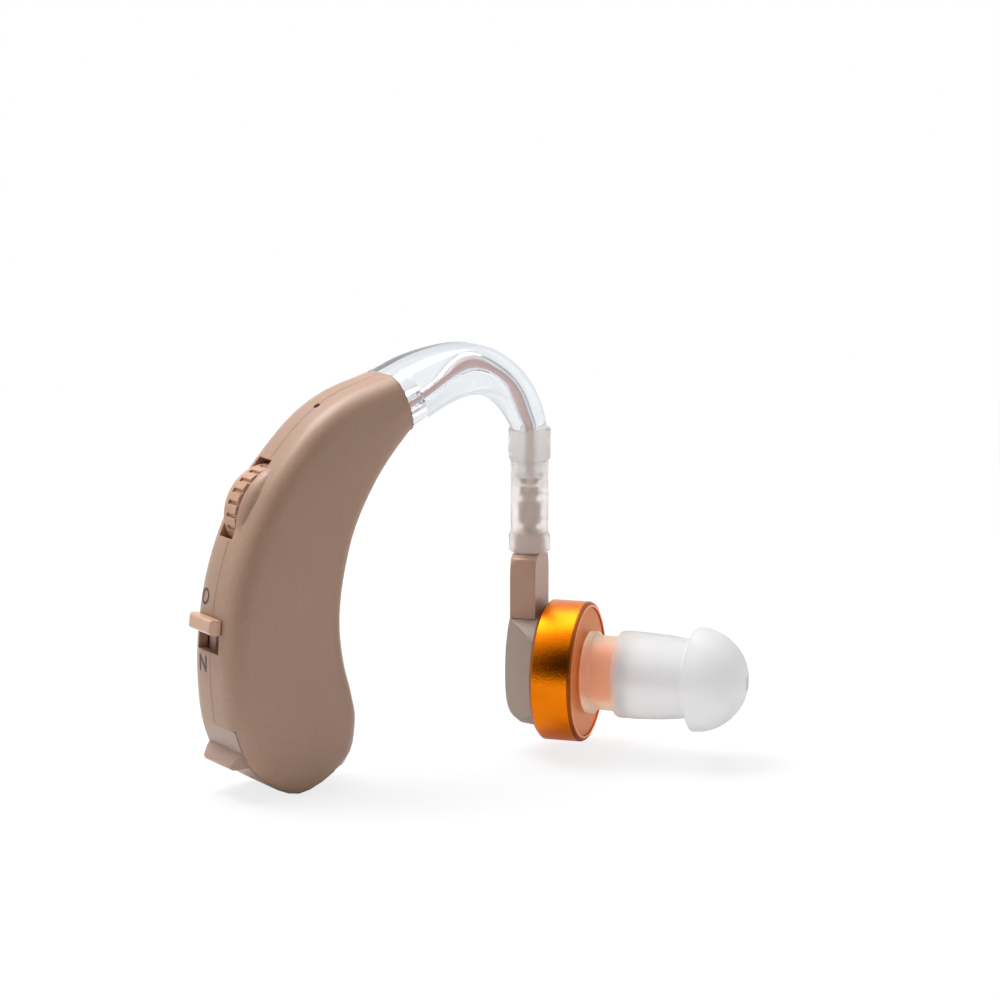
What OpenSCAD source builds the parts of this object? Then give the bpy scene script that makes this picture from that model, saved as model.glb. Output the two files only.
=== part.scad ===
/* [Housing] */
// Drop of the housing from its seat on the hook to its lowest point
body_drop = 40.5; // [39.5:0.05:41.5]
// Reach of the housing back from its seat on the hook
body_back = 21.75; // [21.2:0.05:22.3]
// Thickness of the housing at the hook
top_thick = 8.5; // [8:0.1:9]
// Thickness of the housing round the cell
bulb_thick = 10; // [9.8:0.1:10.6]
// Depth of the housing and of the hook where they meet
seat_depth = 6.4; // [6.2:0.05:6.6]
// Slope of the line along which housing and hook meet
seat_angle = 19.5; // [17:0.5:22]
// Radius of the housing's long edges
edge_round = 2.4; // [2:0.1:2.6]
// Swell of each side face over its middle
side_crown = 0.2; // [0.1:0.05:0.3]
// Wall of the two shells
shell_wall = 1.1; // [0.9:0.05:1.2]
// Diameter of the microphone hole
mic_hole_dia = 0.8; // [0.6:0.1:1.2]

/* [Hook] */
// Distance from the housing seat to the axis of the sleeve
hook_span = 17.5; // [16.8:0.05:18]
// Height of the hook's crown above its underside
hook_rise = 5.5; // [5.2:0.1:5.8]
// Thickness of the hook at the housing
hook_thick = 8.4; // [8:0.1:8.8]
// Diameter of the hook where the sleeve grips it
hook_end_dia = 3.9; // [3.7:0.1:4]
// Length of the hook's round end inside the sleeve
hook_end_length = 3.1; // [2.8:0.1:3.4]
// Diameter of the channel through the hook
channel_dia = 1.3; // [1.2:0.05:1.5]
// Diameter of the wide mouth of the channel
mouth_dia = 2.3; // [2:0.1:2.6]
// Length of the tongue that the two shells hold
tongue_length = 3; // [2.6:0.1:3.4]

/* [Sleeve and lead] */
// Length of the silicone sleeve
sleeve_length = 13.55; // [13.4:0.05:13.7]
// Outer diameter of the sleeve at its middle
sleeve_dia = 4.1; // [4:0.05:4.3]
// Outer diameter of the sleeve's lower rim
sleeve_foot_dia = 4.5; // [4.3:0.1:4.7]
// Outer diameter of the sleeve where it grips the hook
sleeve_head_dia = 4.6; // [4.5:0.05:4.8]
// Diameter of the lead
lead_dia = 0.9; // [0.7:0.05:1]

/* [Volume wheel] */
// Diameter of the volume wheel over its ridges
wheel_dia = 10.4; // [10:0.1:10.6]
// Width of the volume wheel
wheel_width = 2.5; // [2.2:0.1:2.6]
// Height of the wheel above the housing's back
wheel_proud = 1.05; // [0.8:0.05:1.2]
// Number of ridges round the wheel
ridge_count = 24; // [20:1:28]
// Depth of the grooves between the ridges
ridge_depth = 0.3; // [0.2:0.05:0.4]
// Diameter of the wheel's rivet
axle_dia = 2; // [1.6:0.1:2.4]
// Height of the guard's crest above the housing's back
guard_proud = 0.75; // [0.5:0.05:0.9]
// Length of the guard's crest along the housing's back
guard_length = 6.3; // [5.8:0.1:6.8]
// Width of the guard beside the wheel
guard_width = 2.7; // [2.4:0.1:2.9]

/* [Switch] */
// Length of the switch slot
slot_length = 3.6; // [3.5:0.1:3.7]
// Width of the switch slot
slot_width = 4.6; // [4.2:0.1:4.8]
// Length of the slider's cap along the slot
cap_length = 1.6; // [1.4:0.1:1.8]
// Width of the slider's cap across the housing
cap_width = 5.4; // [5.2:0.1:5.6]
// Height of the slider's cap above the housing's back
cap_proud = 1.2; // [0.9:0.05:1.3]

/* [Battery] */
// Diameter of the button cell
cell_dia = 11.6; // [11.4:0.05:11.7]
// Thickness of the button cell
cell_thick = 5.4; // [5:0.1:5.5]
// Width of the battery door
door_width = 7.3; // [7.1:0.1:7.4]
// Depth of the door's face below the housing's outline
door_sink = 0.35; // [0.25:0.05:0.45]
// Width of the finger lip
lip_width = 6.8; // [6:0.1:7]
// Height of the finger lip above the door
lip_proud = 1.5; // [1.2:0.1:1.8]
// Diameter of the hinge pin
pin_dia = 1; // [0.8:0.05:1.1]

/* [Receiver] */
// Turn of the receiver from straight ahead
receiver_turn = 48.8; // [40:0.1:55]
// Diameter of the anodised ring
ring_dia = 15.3; // [14.9:0.1:15.6]
// Width of the anodised ring
ring_width = 4.6; // [4.3:0.05:4.8]
// Depth of the back cup behind the ring
cup_depth = 4.2; // [4:0.1:4.4]
// Length of the neck block
neck_length = 6.9; // [6.7:0.1:7.1]
// Size of the neck block from back to front
neck_depth = 2.85; // [2.7:0.05:3]
// Size of the neck block across the receiver
neck_width = 5.2; // [5:0.1:5.4]
// Diameter of the nozzle's barb
barb_dia = 6.6; // [6.2:0.1:6.8]
// Length of the nozzle in front of the face
nozzle_length = 3.4; // [3:0.1:3.6]
// Diameter of the sound channel
sound_dia = 1.6; // [1.4:0.1:2]

/* [Ear tip] */
// Diameter of the dome
dome_dia = 11.4; // [10.4:0.1:13]
// Length of the tip from the face to the dome's top
tip_length = 17.8; // [17.4:0.1:18.4]
// Diameter of the barrel where it is widest
barrel_dia = 9.5; // [9.2:0.1:9.8]
// Diameter of the flange against the face
flange_dia = 9; // [8.6:0.1:9.4]

/* [Fits] */
// Gap round a turning or sliding piece
run_gap = 0.05; // [0.03:0.01:0.08]
// Gap round a piece that is held still
seat_gap = 0.1; // [0.05:0.01:0.15]

/* [Hidden] */

// Colours
skin_colour = [0.77, 0.62, 0.53];
slider_colour = [0.84, 0.63, 0.51];
taupe_colour = [0.63, 0.58, 0.53];
clear_colour = [0.88, 0.93, 0.96, 0.4];
silicone_colour = [0.87, 0.87, 0.88, 0.8];
sleeve_colour = [0.85, 0.81, 0.78, 0.7];
lead_colour = [0.74, 0.6, 0.58];
orange_colour = [0.9, 0.52, 0.12];
copper_colour = [0.8, 0.58, 0.44];
steel_colour = [0.72, 0.73, 0.75];
gold_colour = [0.83, 0.66, 0.33];
board_colour = [0.12, 0.36, 0.22];
black_colour = [0.1, 0.1, 0.11];

// Smoothness of round parts, and a length past the part for every cut
$fn = 48;
overrun = hook_span;

// Places along the row frame, which starts under the crown of the hook
sleeve_x = 6.45;
seat_z = 0.2;
seat_x = sleeve_x - hook_span;
seat_point = [seat_x, seat_z];
seat_dir = [cos(seat_angle), sin(seat_angle)];
seat_up = [-sin(seat_angle), cos(seat_angle)];

// Housing outline: down the back, round the bottom and up the inner side,
// as shares of the reach back and of the drop below the seat on the hook
back_shares = [
    [0.292, -0.036], [0.467, 0.017], [0.623, 0.096], [0.761, 0.186], [0.874, 0.298],
    [0.954, 0.425], [0.995, 0.561], [1.000, 0.696], [0.963, 0.834], [0.848, 0.941]
];
foot_share = [0.609, 1.0];
front_shares = [
    [0.347, 0.926], [0.287, 0.827], [0.306, 0.745], [0.342, 0.666], [0.361, 0.578],
    [0.352, 0.494], [0.319, 0.405], [0.269, 0.319], [0.186, 0.232], [0.081, 0.151]
];
outline_points = concat(
    [seat_point + seat_up * seat_depth / 2],
    [for (s = concat(back_shares, [foot_share], front_shares))
        [seat_x - s[0] * body_back, seat_z - s[1] * body_drop]],
    [seat_point - seat_up * seat_depth / 2]
);
last_station = len(outline_points) - 1;
foot_station = last_station / 2;
full_station = 8.5;
blend_stations = 1.5;

// Facets of the two shells
rows_per_station = 4;
corner_steps = 4;
side_steps = 4;

// Stations of what sits on the housing's back
mic_station = 1.63;
wheel_station = 4.27;
switch_station = 7.02;
door_station = 8.78;
lip_station = 9.42;

// Vector helpers
function unit(v) = v / norm(v);
function mix(a, b, t) = a + (b - a) * t;
function before(table, i) = i > 0 ? table[i - 1] : 2 * table[0] - table[1];
function after(table, i) = i < len(table) ? table[i] : 2 * table[i - 1] - table[i - 2];

// Smooth curve through the rows of a table, and its slope, at a place counted in rows
function cubic(a, b, c, d, t) =
    (2 * b + (c - a) * t + (2 * a - 5 * b + 4 * c - d) * t * t + (3 * b - a - 3 * c + d) * t * t * t) / 2;
function cubic_slope(a, b, c, d, t) =
    ((c - a) + 2 * (2 * a - 5 * b + 4 * c - d) * t + 3 * (3 * b - a - 3 * c + d) * t * t) / 2;
function curve(table, s) =
    let (i = max(0, min(floor(s), len(table) - 2)))
    cubic(before(table, i), table[i], table[i + 1], after(table, i + 2), s - i);
function curve_slope(table, s) =
    let (i = max(0, min(floor(s), len(table) - 2)))
    cubic_slope(before(table, i), table[i], table[i + 1], after(table, i + 2), s - i);

// Housing outline at a station, its outward normal, and the way in from it,
// which turns into the seat's own plane near the hook
function outline(s) = curve(outline_points, s);
function outward(s) = let (t = unit(curve_slope(outline_points, s))) [t[1], -t[0]];
function end_share(s) = max(0, 1 - min(s, last_station - s) / blend_stations);
function inward(s) =
    let (e = s < foot_station ? -seat_up : seat_up)
    unit(mix(-outward(s), e, end_share(s)));
function inset(s, depth) = outline(s) + inward(s) * depth;
function rung(s, share) = mix(outline(s), outline(last_station - s), share);
function half_thick(s) = mix(top_thick, bulb_thick, min(1, s / full_station)) / 2;

// One row of a shell, from the back's middle line over the side to the inner middle line
function shell_point(s, depth, y) = let (p = inset(s, depth)) [p[0], -y, p[1]];
function shell_row(s, skin) =
    let (
        other = last_station - s,
        bend = edge_round - skin,
        flat_y = half_thick(s) - side_crown - skin,
        swell = side_crown * sin(90 * min(1, (foot_station - s) / side_steps)),
        turn = [for (k = [0:corner_steps]) 90 * k / corner_steps]
    )
    concat(
        [shell_point(s, skin, 0)],
        [for (a = turn) shell_point(s, skin + bend * (1 - cos(a)), flat_y - bend * (1 - sin(a)))],
        [for (m = [1:side_steps - 1])
            mix(shell_point(s, edge_round, flat_y), shell_point(other, edge_round, flat_y), m / side_steps)
            - [0, swell * pow(sin(180 * m / side_steps), 2), 0]],
        [for (k = [corner_steps:-1:0])
            shell_point(other, skin + bend * (1 - cos(turn[k])), flat_y - bend * (1 - sin(turn[k])))],
        [shell_point(other, skin, 0)]
    );

// Corner numbers of the shell's grid; the last row closes at the foot, where both sides meet
columns = 2 * corner_steps + side_steps + 3;
rows = foot_station * rows_per_station;
foot_columns = corner_steps + 2;
skin_corners = rows * columns + foot_columns;
function foot_column(c) =
    c < foot_columns ? c : (c >= columns - foot_columns ? columns - 1 - c : foot_columns - 1);
function corner(skin, r, c) =
    skin * skin_corners + (r < rows ? r * columns + c : rows * columns + foot_column(c));
function skin_points(skin) = concat(
    [for (r = [0:rows - 1]) each shell_row(r / rows_per_station, skin)],
    [for (c = [0:foot_columns - 1]) shell_row(foot_station, skin)[c]]
);
function two_faces(a, b, c, d) = c == d ? [[a, b, c]] : (a == b ? [[a, c, d]] : [[a, b, c], [a, c, d]]);
shell_faces = concat(
    [for (r = [0:rows - 1], c = [0:columns - 2])
        each two_faces(corner(0, r, c), corner(0, r, c + 1), corner(0, r + 1, c + 1), corner(0, r + 1, c))],
    [for (r = [0:rows - 1], c = [0:columns - 2])
        each [for (f = two_faces(corner(1, r, c), corner(1, r, c + 1),
            corner(1, r + 1, c + 1), corner(1, r + 1, c))) [f[2], f[1], f[0]]]],
    [for (r = [0:rows - 1])
        each two_faces(corner(1, r, 0), corner(0, r, 0), corner(0, r + 1, 0), corner(1, r + 1, 0))],
    [for (r = [0:rows - 1], c = columns - 1)
        each two_faces(corner(0, r, c), corner(1, r, c), corner(1, r + 1, c), corner(0, r + 1, c))],
    [for (c = [0:columns - 2])
        each two_faces(corner(0, 0, c + 1), corner(0, 0, c), corner(1, 0, c), corner(1, 0, c + 1))]
);

// Hook centre line, as shares of the span and the rise, and its depth, from the round end's 0 to the seat's 1
hook_shares = [
    [0.000, 0.036, 1.000], [0.170, 0.273, 0.923], [0.330, 0.436, 0.759], [0.478, 0.509, 0.649],
    [0.600, 0.482, 0.565], [0.721, 0.336, 0.373], [0.822, 0.118, 0.206], [0.900, -0.155, 0.109],
    [0.957, -0.455, 0.040], [0.990, -0.700, 0.000], [1.000, -0.880, 0.000]
];
// Offset of the channel from the centre line at the same places, as shares of the seat depth
channel_shares = [-0.14, -0.14, -0.0539, 0.0377, 0.0593, 0.0485, 0.0323, 0.0162, 0, 0, 0];
hook_last = len(hook_shares) - 1;
hook_line = [for (s = hook_shares) [seat_x + s[0] * hook_span, s[1] * hook_rise]];
hook_gap = norm(hook_line[1] - hook_line[0]);
hook_lead_in = hook_line[1] - 2 * hook_gap * seat_dir;
hook_lead_out = hook_line[hook_last - 1] - [0, 2 * (hook_line[hook_last - 1][1] - hook_line[hook_last][1])]
    + [2 * (hook_line[hook_last][0] - hook_line[hook_last - 1][0]), 0];
hook_run = concat([hook_lead_in], hook_line, [hook_lead_out]);
hook_depths = [for (s = hook_shares) mix(hook_end_dia, seat_depth, s[2]) / 2];
hook_steps = 3;
ring_corners = 24;
bore_corners = 12;
lead_corners = 8;
function hook_point(s) = curve(hook_run, s + 1);
function hook_dir(s) = s >= hook_last ? [0, -1] : unit(curve_slope(hook_run, s + 1));
function hook_up(s) = let (t = hook_dir(s)) [-t[1], t[0]];
function hook_half(s) = curve(hook_depths, s);
function round_share(s) = min(1, s / (hook_last - 1));
function hook_half_thick(s) =
    s >= hook_last - 1 ? hook_half(s) : mix(hook_thick / 2, hook_half(hook_last), round_share(s));
function hook_corner(s) =
    min(hook_half(s), hook_half_thick(s), mix(edge_round, hook_half(hook_last), round_share(s)));
function channel_point(s) = hook_point(s) + hook_up(s) * curve(channel_shares, s) * seat_depth;

// A ring of points round a place: a rectangle with round corners, up to a circle
function ring_offset(k, n, half_x, half_y, bend) =
    let (a = 360 * (k + 1 / 2) / n)
    [sign(cos(a)) * (half_x - bend) + bend * cos(a), sign(sin(a)) * (half_y - bend) + bend * sin(a)];
function ring(p, up, half_x, half_y, bend, n, shift = 0) = [for (k = [0:n - 1])
    let (o = ring_offset(k + shift, n, half_x, half_y, bend))
    [p[0] + up[0] * o[0], o[1], p[1] + up[1] * o[0]]];
function round_ring(p, up, r, n) = ring(p, up, r, r, r, n);

// The hook's tongue, its barbed end under the curved stretch, and both skins as lists of rings
tongue_half_depth = seat_depth / 2 - shell_wall - seat_gap;
tongue_half_thick = top_thick / 2 - side_crown - shell_wall - seat_gap;
tongue_corner = edge_round - shell_wall;
groove_depth = 0.7;
groove_width = 1;
groove_start = 1;
nipple_dia = 2.4;
nipple_neck = 1.4;
nipple_barb_dia = 3.2;
nipple_tip_dia = 1.7;
nipple_barb = 1.1;
mouth_depth = 2.6;
hook_foot_z = hook_line[hook_last][1] - hook_end_length;
nipple_tip_z = hook_foot_z - nipple_neck - nipple_barb;
function tongue_place(x) = seat_point + seat_dir * x;
function tongue_ring(x, cut) = ring(tongue_place(x), seat_up, tongue_half_depth - cut, tongue_half_thick - cut,
    tongue_corner, ring_corners);
function end_ring(z, d) = round_ring([sleeve_x, z], hook_up(hook_last), d / 2, ring_corners);
hook_rings = concat(
    [for (x = [-tongue_length, -groove_start - groove_width]) tongue_ring(x, 0)],
    [for (x = [-groove_start - groove_width, -groove_start]) tongue_ring(x, groove_depth)],
    [for (x = [-groove_start, 0]) tongue_ring(x, 0)],
    [for (i = [0:hook_last * hook_steps]) let (s = i / hook_steps)
        ring(hook_point(s), hook_up(s), hook_half(s), hook_half_thick(s), hook_corner(s), ring_corners)],
    [end_ring(hook_foot_z, hook_end_dia), end_ring(hook_foot_z, nipple_dia)],
    [end_ring(hook_foot_z - nipple_neck, nipple_dia), end_ring(hook_foot_z - nipple_neck, nipple_barb_dia)],
    [end_ring(nipple_tip_z, nipple_tip_dia)]
);
mouth_share = mouth_depth / hook_gap;
channel_shift = channel_shares[0] * seat_depth;
channel_start = tongue_place(-tongue_length) + seat_up * channel_shift;
channel_rings = concat(
    [for (p = [channel_start, channel_point(0), channel_point(mouth_share)])
        round_ring(p, seat_up, mouth_dia / 2, bore_corners)],
    [round_ring(channel_point(mouth_share), seat_up, channel_dia / 2, bore_corners)],
    [for (i = [hook_steps:hook_last * hook_steps]) let (s = i / hook_steps)
        round_ring(channel_point(s), hook_up(s), channel_dia / 2, bore_corners)],
    [round_ring([sleeve_x, nipple_tip_z], hook_up(hook_last), channel_dia / 2, bore_corners)]
);

// Faces of a tube whose outer rings have twice as many points as the rings of its channel
function ring_faces(first, count, n, flip) = [for (i = [0:count - 2], k = [0:n - 1])
    let (a = first + i * n + k, b = first + i * n + (k + 1) % n)
    each flip ? [[a, b + n, b], [a, a + n, b + n]] : [[a, b, b + n], [a, b + n, a + n]]];
function rim_faces(o, c, n, flip) = [for (k = [0:n - 1])
    let (o0 = o + 2 * k, o1 = o + 2 * k + 1, o2 = o + (2 * k + 2) % (2 * n), c0 = c + k, c1 = c + (k + 1) % n)
    each flip ? [[o0, o1, c0], [o1, o2, c1], [c0, o1, c1]] : [[o1, o0, c0], [o2, o1, c1], [o1, c0, c1]]];
module tube(outer, bore) {
    n = len(bore[0]);
    outer_total = len(outer) * 2 * n;
    points = concat([for (r = outer) each r], [for (r = bore) each r]);
    polyhedron(points, concat(
        ring_faces(0, len(outer), 2 * n, false),
        ring_faces(outer_total, len(bore), n, true),
        rim_faces(0, outer_total, n, false),
        rim_faces(outer_total - 2 * n, outer_total + (len(bore) - 1) * n, n, true)
    ));
}

// A solid cord through a list of points
function cord_dir(path, i) = unit(path[min(i + 1, len(path) - 1)] - path[max(i - 1, 0)]);
function cord_ring(path, i, r, n) =
    let (t = cord_dir(path, i), u = unit(cross([0, 1, 0], t)), v = cross(t, u))
    [for (k = [0:n - 1]) path[i] + (u * cos(360 * k / n) + v * sin(360 * k / n)) * r];
module cord(path, r, n) {
    count = len(path);
    polyhedron([for (i = [0:count - 1]) each cord_ring(path, i, r, n)], concat(
        [for (f = ring_faces(0, count, n, false)) [f[2], f[1], f[0]]],
        [[for (k = [0:n - 1]) k], [for (k = [n - 1:-1:0]) (count - 1) * n + k]]
    ));
}

// Local frames: along the seat, on the back of the housing, and turned with the receiver
module at_seat() translate([seat_x, 0, seat_z]) rotate([0, -seat_angle, 0]) children();
module on_back(s) {
    p = outline(s);
    n = outward(s);
    translate([p[0], 0, p[1]]) rotate([0, -atan2(n[1], n[0]), 0]) children();
}
module at_point(p) translate([p[0], 0, p[1]]) children();
module along_y(y = 0) translate([0, y, 0]) rotate([-90, 0, 0]) children();
module slab(y0, y1) translate([0, y1, 0]) rotate([90, 0, 0]) linear_extrude(y1 - y0) children();
module box(x0, x1, y0, y1, z0, z1) translate([x0, y0, z0]) cube([x1 - x0, y1 - y0, z1 - z0]);

// Volume control places, across the housing and round the wheel's axis
wheel_y = -0.4;
window_gap = 0.12;
window_end_gap = 0.4;
wheel_r = wheel_dia / 2;
wheel_centre = outline(wheel_station) - outward(wheel_station) * (wheel_r - wheel_proud);
window_half = sqrt(pow(wheel_r, 2) - pow(wheel_r - wheel_proud - shell_wall, 2)) + window_end_gap;
guard_r = (pow(guard_length / 2, 2) + pow(guard_proud, 2)) / (2 * guard_proud);
guard_sink = 0.6;
guard_edge = 0.08;
guard_fall = guard_proud + edge_round / 3;
guard_crest = 0.4;
guard_slope_shares = [[0.12, 0.3], [0.62, 0.62], [1, 1]];
wiper_thick = 0.25;
wiper_r = 2.3;
base_r = 2.7;
base_thick = 1.1;
rivet_head_thick = 0.4;
rivet_head_r = 1.5;
groove_share = 0.4;
plain_rim = 0.6;

// Board: across the housing, and its ends and edges as shares of the rungs
board_thick = 0.6;
board_y = wheel_y - wiper_thick - seat_gap - base_thick - board_thick;
board_top = board_y + board_thick;
board_edge_share = 0.16;
board_back_station = 3;
board_front_station = 2;
board_end_station = 7;

// Pegs that join the shells: stations, shares of their rungs, and sizes
peg_places = [[2.6, 0.68], [6.7, 0.75]];
peg_r = 0.55;
peg_boss_r = 1.1;
peg_end = 1.9;

// Small parts on the board: stations and shares of their rungs, and sizes
chip_place = [5.8, 0.5];
chip_side = 3.9;
chip_thick = 1.1;
chip_pitch = 0.7;
chip_pins = 2;
pin_reach = 0.35;
capacitor_places = [[3.1, 0.52], [5.0, 0.74], [6.55, 0.44]];
capacitor_length = 1.8;
capacitor_width = 1.1;
capacitor_height = 0.9;

// Microphone under its hole
mic_r = 1.9;
mic_height = 1.8;
boot_wall = 0.4;
boot_top = shell_wall + 2 * seat_gap;

// Switch in the frame on the back, where X is out and Z runs down the housing
switch_y = 0.5;
switch_gap = 0.3;
case_depth = 2.4;
case_length = 6.6;
case_wall = 0.5;
case_top = shell_wall + switch_gap;
slider_half = 0.8;
slider_length = 1.1;
slider_gap = 0.15;
cap_lap = 0.15;
slider_rest = -(slot_length - cap_length) / 2 - cap_lap;
slider_travel = -2 * slider_rest;
bridge_thick = 0.3;
cap_gap = 0.08;
cap_edge = 0.25;

// Cell, door and hinge
cell_r = cell_dia / 2;
cell_shares = [0.6457, 0.8122];
cell_centre = [seat_x - cell_shares[0] * body_back, seat_z - cell_shares[1] * body_drop];
knuckle_r = 1;
hinge_slope = -37.1;
hinge_reach = cell_r + knuckle_r + 1.5 * seat_gap;
hinge_point = cell_centre + hinge_reach * [cos(hinge_slope), sin(hinge_slope)];
hinge_in = unit(cell_centre - hinge_point);
hinge_half = 3;
hinge_bite = 0.95;
ear_r = 0.8;
ear_shift = 0.3;
door_half = door_width / 2;
door_end_station = 11.7;
door_steps = 12;
door_curve = [for (i = [0:door_steps]) inset(mix(door_station, door_end_station, i / door_steps), door_sink)];
door_top_z = door_curve[0][1];
cheek_x = cell_centre[0] + 0.7 * cell_r;
door_outline = concat(door_curve, [hinge_point, [cheek_x, door_top_z]]);
door_cut = [
    [cell_centre[0], door_top_z + seat_gap],
    [cell_centre[0] - overrun, door_top_z + seat_gap],
    [cell_centre[0] - overrun, door_top_z - overrun],
    hinge_point - overrun * hinge_in,
    hinge_point
];
relief_wall = 0.6;
relief_shares = [-0.2, 0.3];
relief_outline = [
    inset(door_station - relief_shares[0], relief_wall),
    inset(door_station - relief_shares[1], relief_wall),
    inset(door_station - relief_shares[1], 2 * shell_wall),
    inset(door_station - relief_shares[0], 2 * shell_wall)
];
pocket_half = cell_thick / 2 + run_gap;
pocket_r = cell_r + run_gap;
cap_r = 4.6;
gasket_wall = 0.35;
rim_step = 0.5;
contact_thick = 0.3;
contact_width = 1.8;
leaf_turn = 60;
strip_end_share = 0.3;

// Finger lip on the door: out from the door's face, and down along it, as shares of its height and length
lip_length = 2.3;
lip_chamfer = 0.45;
lip_shares = [
    [-0.4, -0.33], [0, -0.33], [0.76, -0.06], [0.94, 0], [1, 0.08], [1, 0.2], [0.9, 0.27], [0.2, 0.42],
    [0, 0.5], [-0.4, 0.5]
];

// Receiver in its own frame: X forward to the ear, Z up, on the sleeve's axis
ring_r = ring_dia / 2;
ring_centre_z = -31;
face_u = 6.7;
ring_back_u = face_u - ring_width;
ring_wall = 0.6;
ring_edge = 0.35;
cup_back_u = ring_back_u - cup_depth;
cup_r = 6.5;
cup_top = 6.02;
cup_bore_r = 4;
cup_floor = 1.2;
cup_floor_r = 1.7;
cup_half_back = 2.2;
cup_flare = 37.6;
neck_foot_z = ring_centre_z + cup_top;
neck_top_z = neck_foot_z + neck_length;
sleeve_lap = 0.5;
sleeve_top_z = hook_line[hook_last][1] + sleeve_lap;
sleeve_foot_z = sleeve_top_z - sleeve_length;
sleeve_edge = 0.15;

// Profile of the cup seen from its side, as shares of its depth and its radius
cup_shares = [
    [0.16, 0.926], [0.09, 0.72], [0.04, 0.5], [0.01, 0.28], [0, 0.08], [0, -0.14], [0.01, -0.3],
    [0.035, -0.44], [0.075, -0.55], [0.13, -0.63], [0.2, -0.685], [0.3, -0.73], [0.6, -0.8], [1, -0.86],
    [1, 0.926]
];

// Round shoulder of the neck block, where it meets the sleeve: radius, and how far the turn reaches down
neck_shoulder_r = 2.4;
neck_edge = 0.25;
neck_blend = 2.2;
neck_blend_steps = 8;
neck_corner_r = norm([neck_depth, neck_width]) / 2;

// Stem of the receiver: place down from the hook's tip, and radius
stem_bore_r = 0.6;
stem_foot_r = 1.7;
stem_barb_r = 1.25;
stem_tip_r = 1.05;
stem_waist_r = 0.75;
stem_tip_z = nipple_tip_z - 4 * seat_gap;
stem_length = stem_tip_z - neck_top_z;
stem_foot_share = 0.7;
stem_shares = [
    [stem_bore_r, 0], [stem_tip_r, 0], [stem_tip_r, 0.11], [stem_waist_r, 0.15], [stem_waist_r, 0.21],
    [stem_barb_r, 0.25], [stem_barb_r, 0.54], [stem_waist_r, 0.58], [stem_waist_r, 0.66],
    [stem_foot_r, stem_foot_share], [stem_foot_r, 1], [stem_bore_r, 1]
];
stem_foot_z = stem_tip_z - stem_foot_share * stem_length;
lead_end_z = neck_top_z - stem_bore_r * 2;

// Small speaker in the ring, from back to front
driver_r = 5.6;
yoke_u = ring_back_u + seat_gap;
yoke_depth = 1.7;
yoke_wall = 0.45;
magnet_r = 2.6;
coil_r = 3.4;
coil_wall = 0.35;
diaphragm_u = yoke_u + yoke_depth + 4 * seat_gap;
diaphragm_thick = 0.12;
diaphragm_cone = 0.35;
ring_ledge = 0.5;

// Front plate and nozzle, out from the ring's front edge
plate_thick = 0.9;
plate_sink = 0.15;
nozzle_r = 2.75;
nozzle_bore_r = 1.5;
nozzle_flange_r = 3.7;
nozzle_flange = 0.4;
barb_r = barb_dia / 2;
mesh_thick = 0.15;
nozzle_shares = [[nozzle_r, 0.5], [barb_r, 0.54], [barb_r, 0.76], [nozzle_r, 1]];

// Ear tip outline: radius as a share of the barrel's, and place as a share of the tip's length
tip_gap = 0.2;
barrel_r = barrel_dia / 2;
flange_r = flange_dia / 2;
dome_r = dome_dia / 2;
sound_r = sound_dia / 2;
tip_wall = 0.65;
tip_pocket_r = barb_r + run_gap;
tip_pocket_share = 0.225;
barrel_shares = [
    [0.86, 0.068], [0.86, 0.196], [0.96, 0.203], [0.99, 0.214], [1, 0.23], [0.995, 0.34], [0.97, 0.48],
    [0.92, 0.6], [0.85, 0.7], [0.66, 0.78], [0.58, 0.83]
];
dome_centre_u = tip_length - dome_r;
dome_steps = 10;
dome_end = acos(sound_r / dome_r);
skirt_start = 4;
skirt_end = 58;

// Profiles of revolution: the ear tip, whose second value is the way out from the face
tip_outline = concat(
    [[tip_pocket_r, tip_gap], [flange_r, tip_gap], [flange_r, tip_gap + tip_wall]],
    [for (s = barrel_shares) [s[0] * barrel_r, s[1] * tip_length]],
    [for (a = [skirt_end:-(skirt_end - skirt_start) / dome_steps:skirt_start])
        [cos(a) * (dome_r - tip_wall), dome_centre_u + sin(a) * (dome_r - tip_wall)]],
    [[dome_r - tip_wall / 2, dome_centre_u - tip_wall / 3]],
    [for (i = [0:dome_steps]) let (a = dome_end * i / dome_steps)
        [cos(a) * dome_r, dome_centre_u + sin(a) * dome_r]],
    [[sound_r, tip_length * tip_pocket_share + tip_wall], [tip_pocket_r, tip_length * tip_pocket_share]]
);

// Route of the lead: from the board, along the middle of the hook's channel, to the receiver's stem
lead_r = lead_dia / 2;
lead_start = rung(2.8, 0.38);
lead_bend = rung(2.2, 0.45);
lead_in_point = channel_start - seat_dir * tongue_length / 2;
function in_3d(p, y) = [p[0], y, p[1]];
lead_route = concat(
    [in_3d(lead_start, board_top + lead_r + run_gap), in_3d(lead_bend, board_top / 2 - lead_r)],
    [in_3d(lead_in_point, -lead_r / 2), in_3d(channel_start, 0), in_3d(channel_point(0), 0)],
    [for (i = [1:hook_last * hook_steps]) in_3d(channel_point(i / hook_steps), 0)],
    [for (z = [hook_foot_z, stem_tip_z, stem_foot_z, lead_end_z]) in_3d([sleeve_x, z], 0)]
);

// Shells
module half_shell() polyhedron(concat(skin_points(0), skin_points(shell_wall)), shell_faces);

module round_block(half_y, half_z, bend) polygon([for (k = [0:ring_corners - 1])
    ring_offset(k, ring_corners, half_y, half_z, bend)]);

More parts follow.
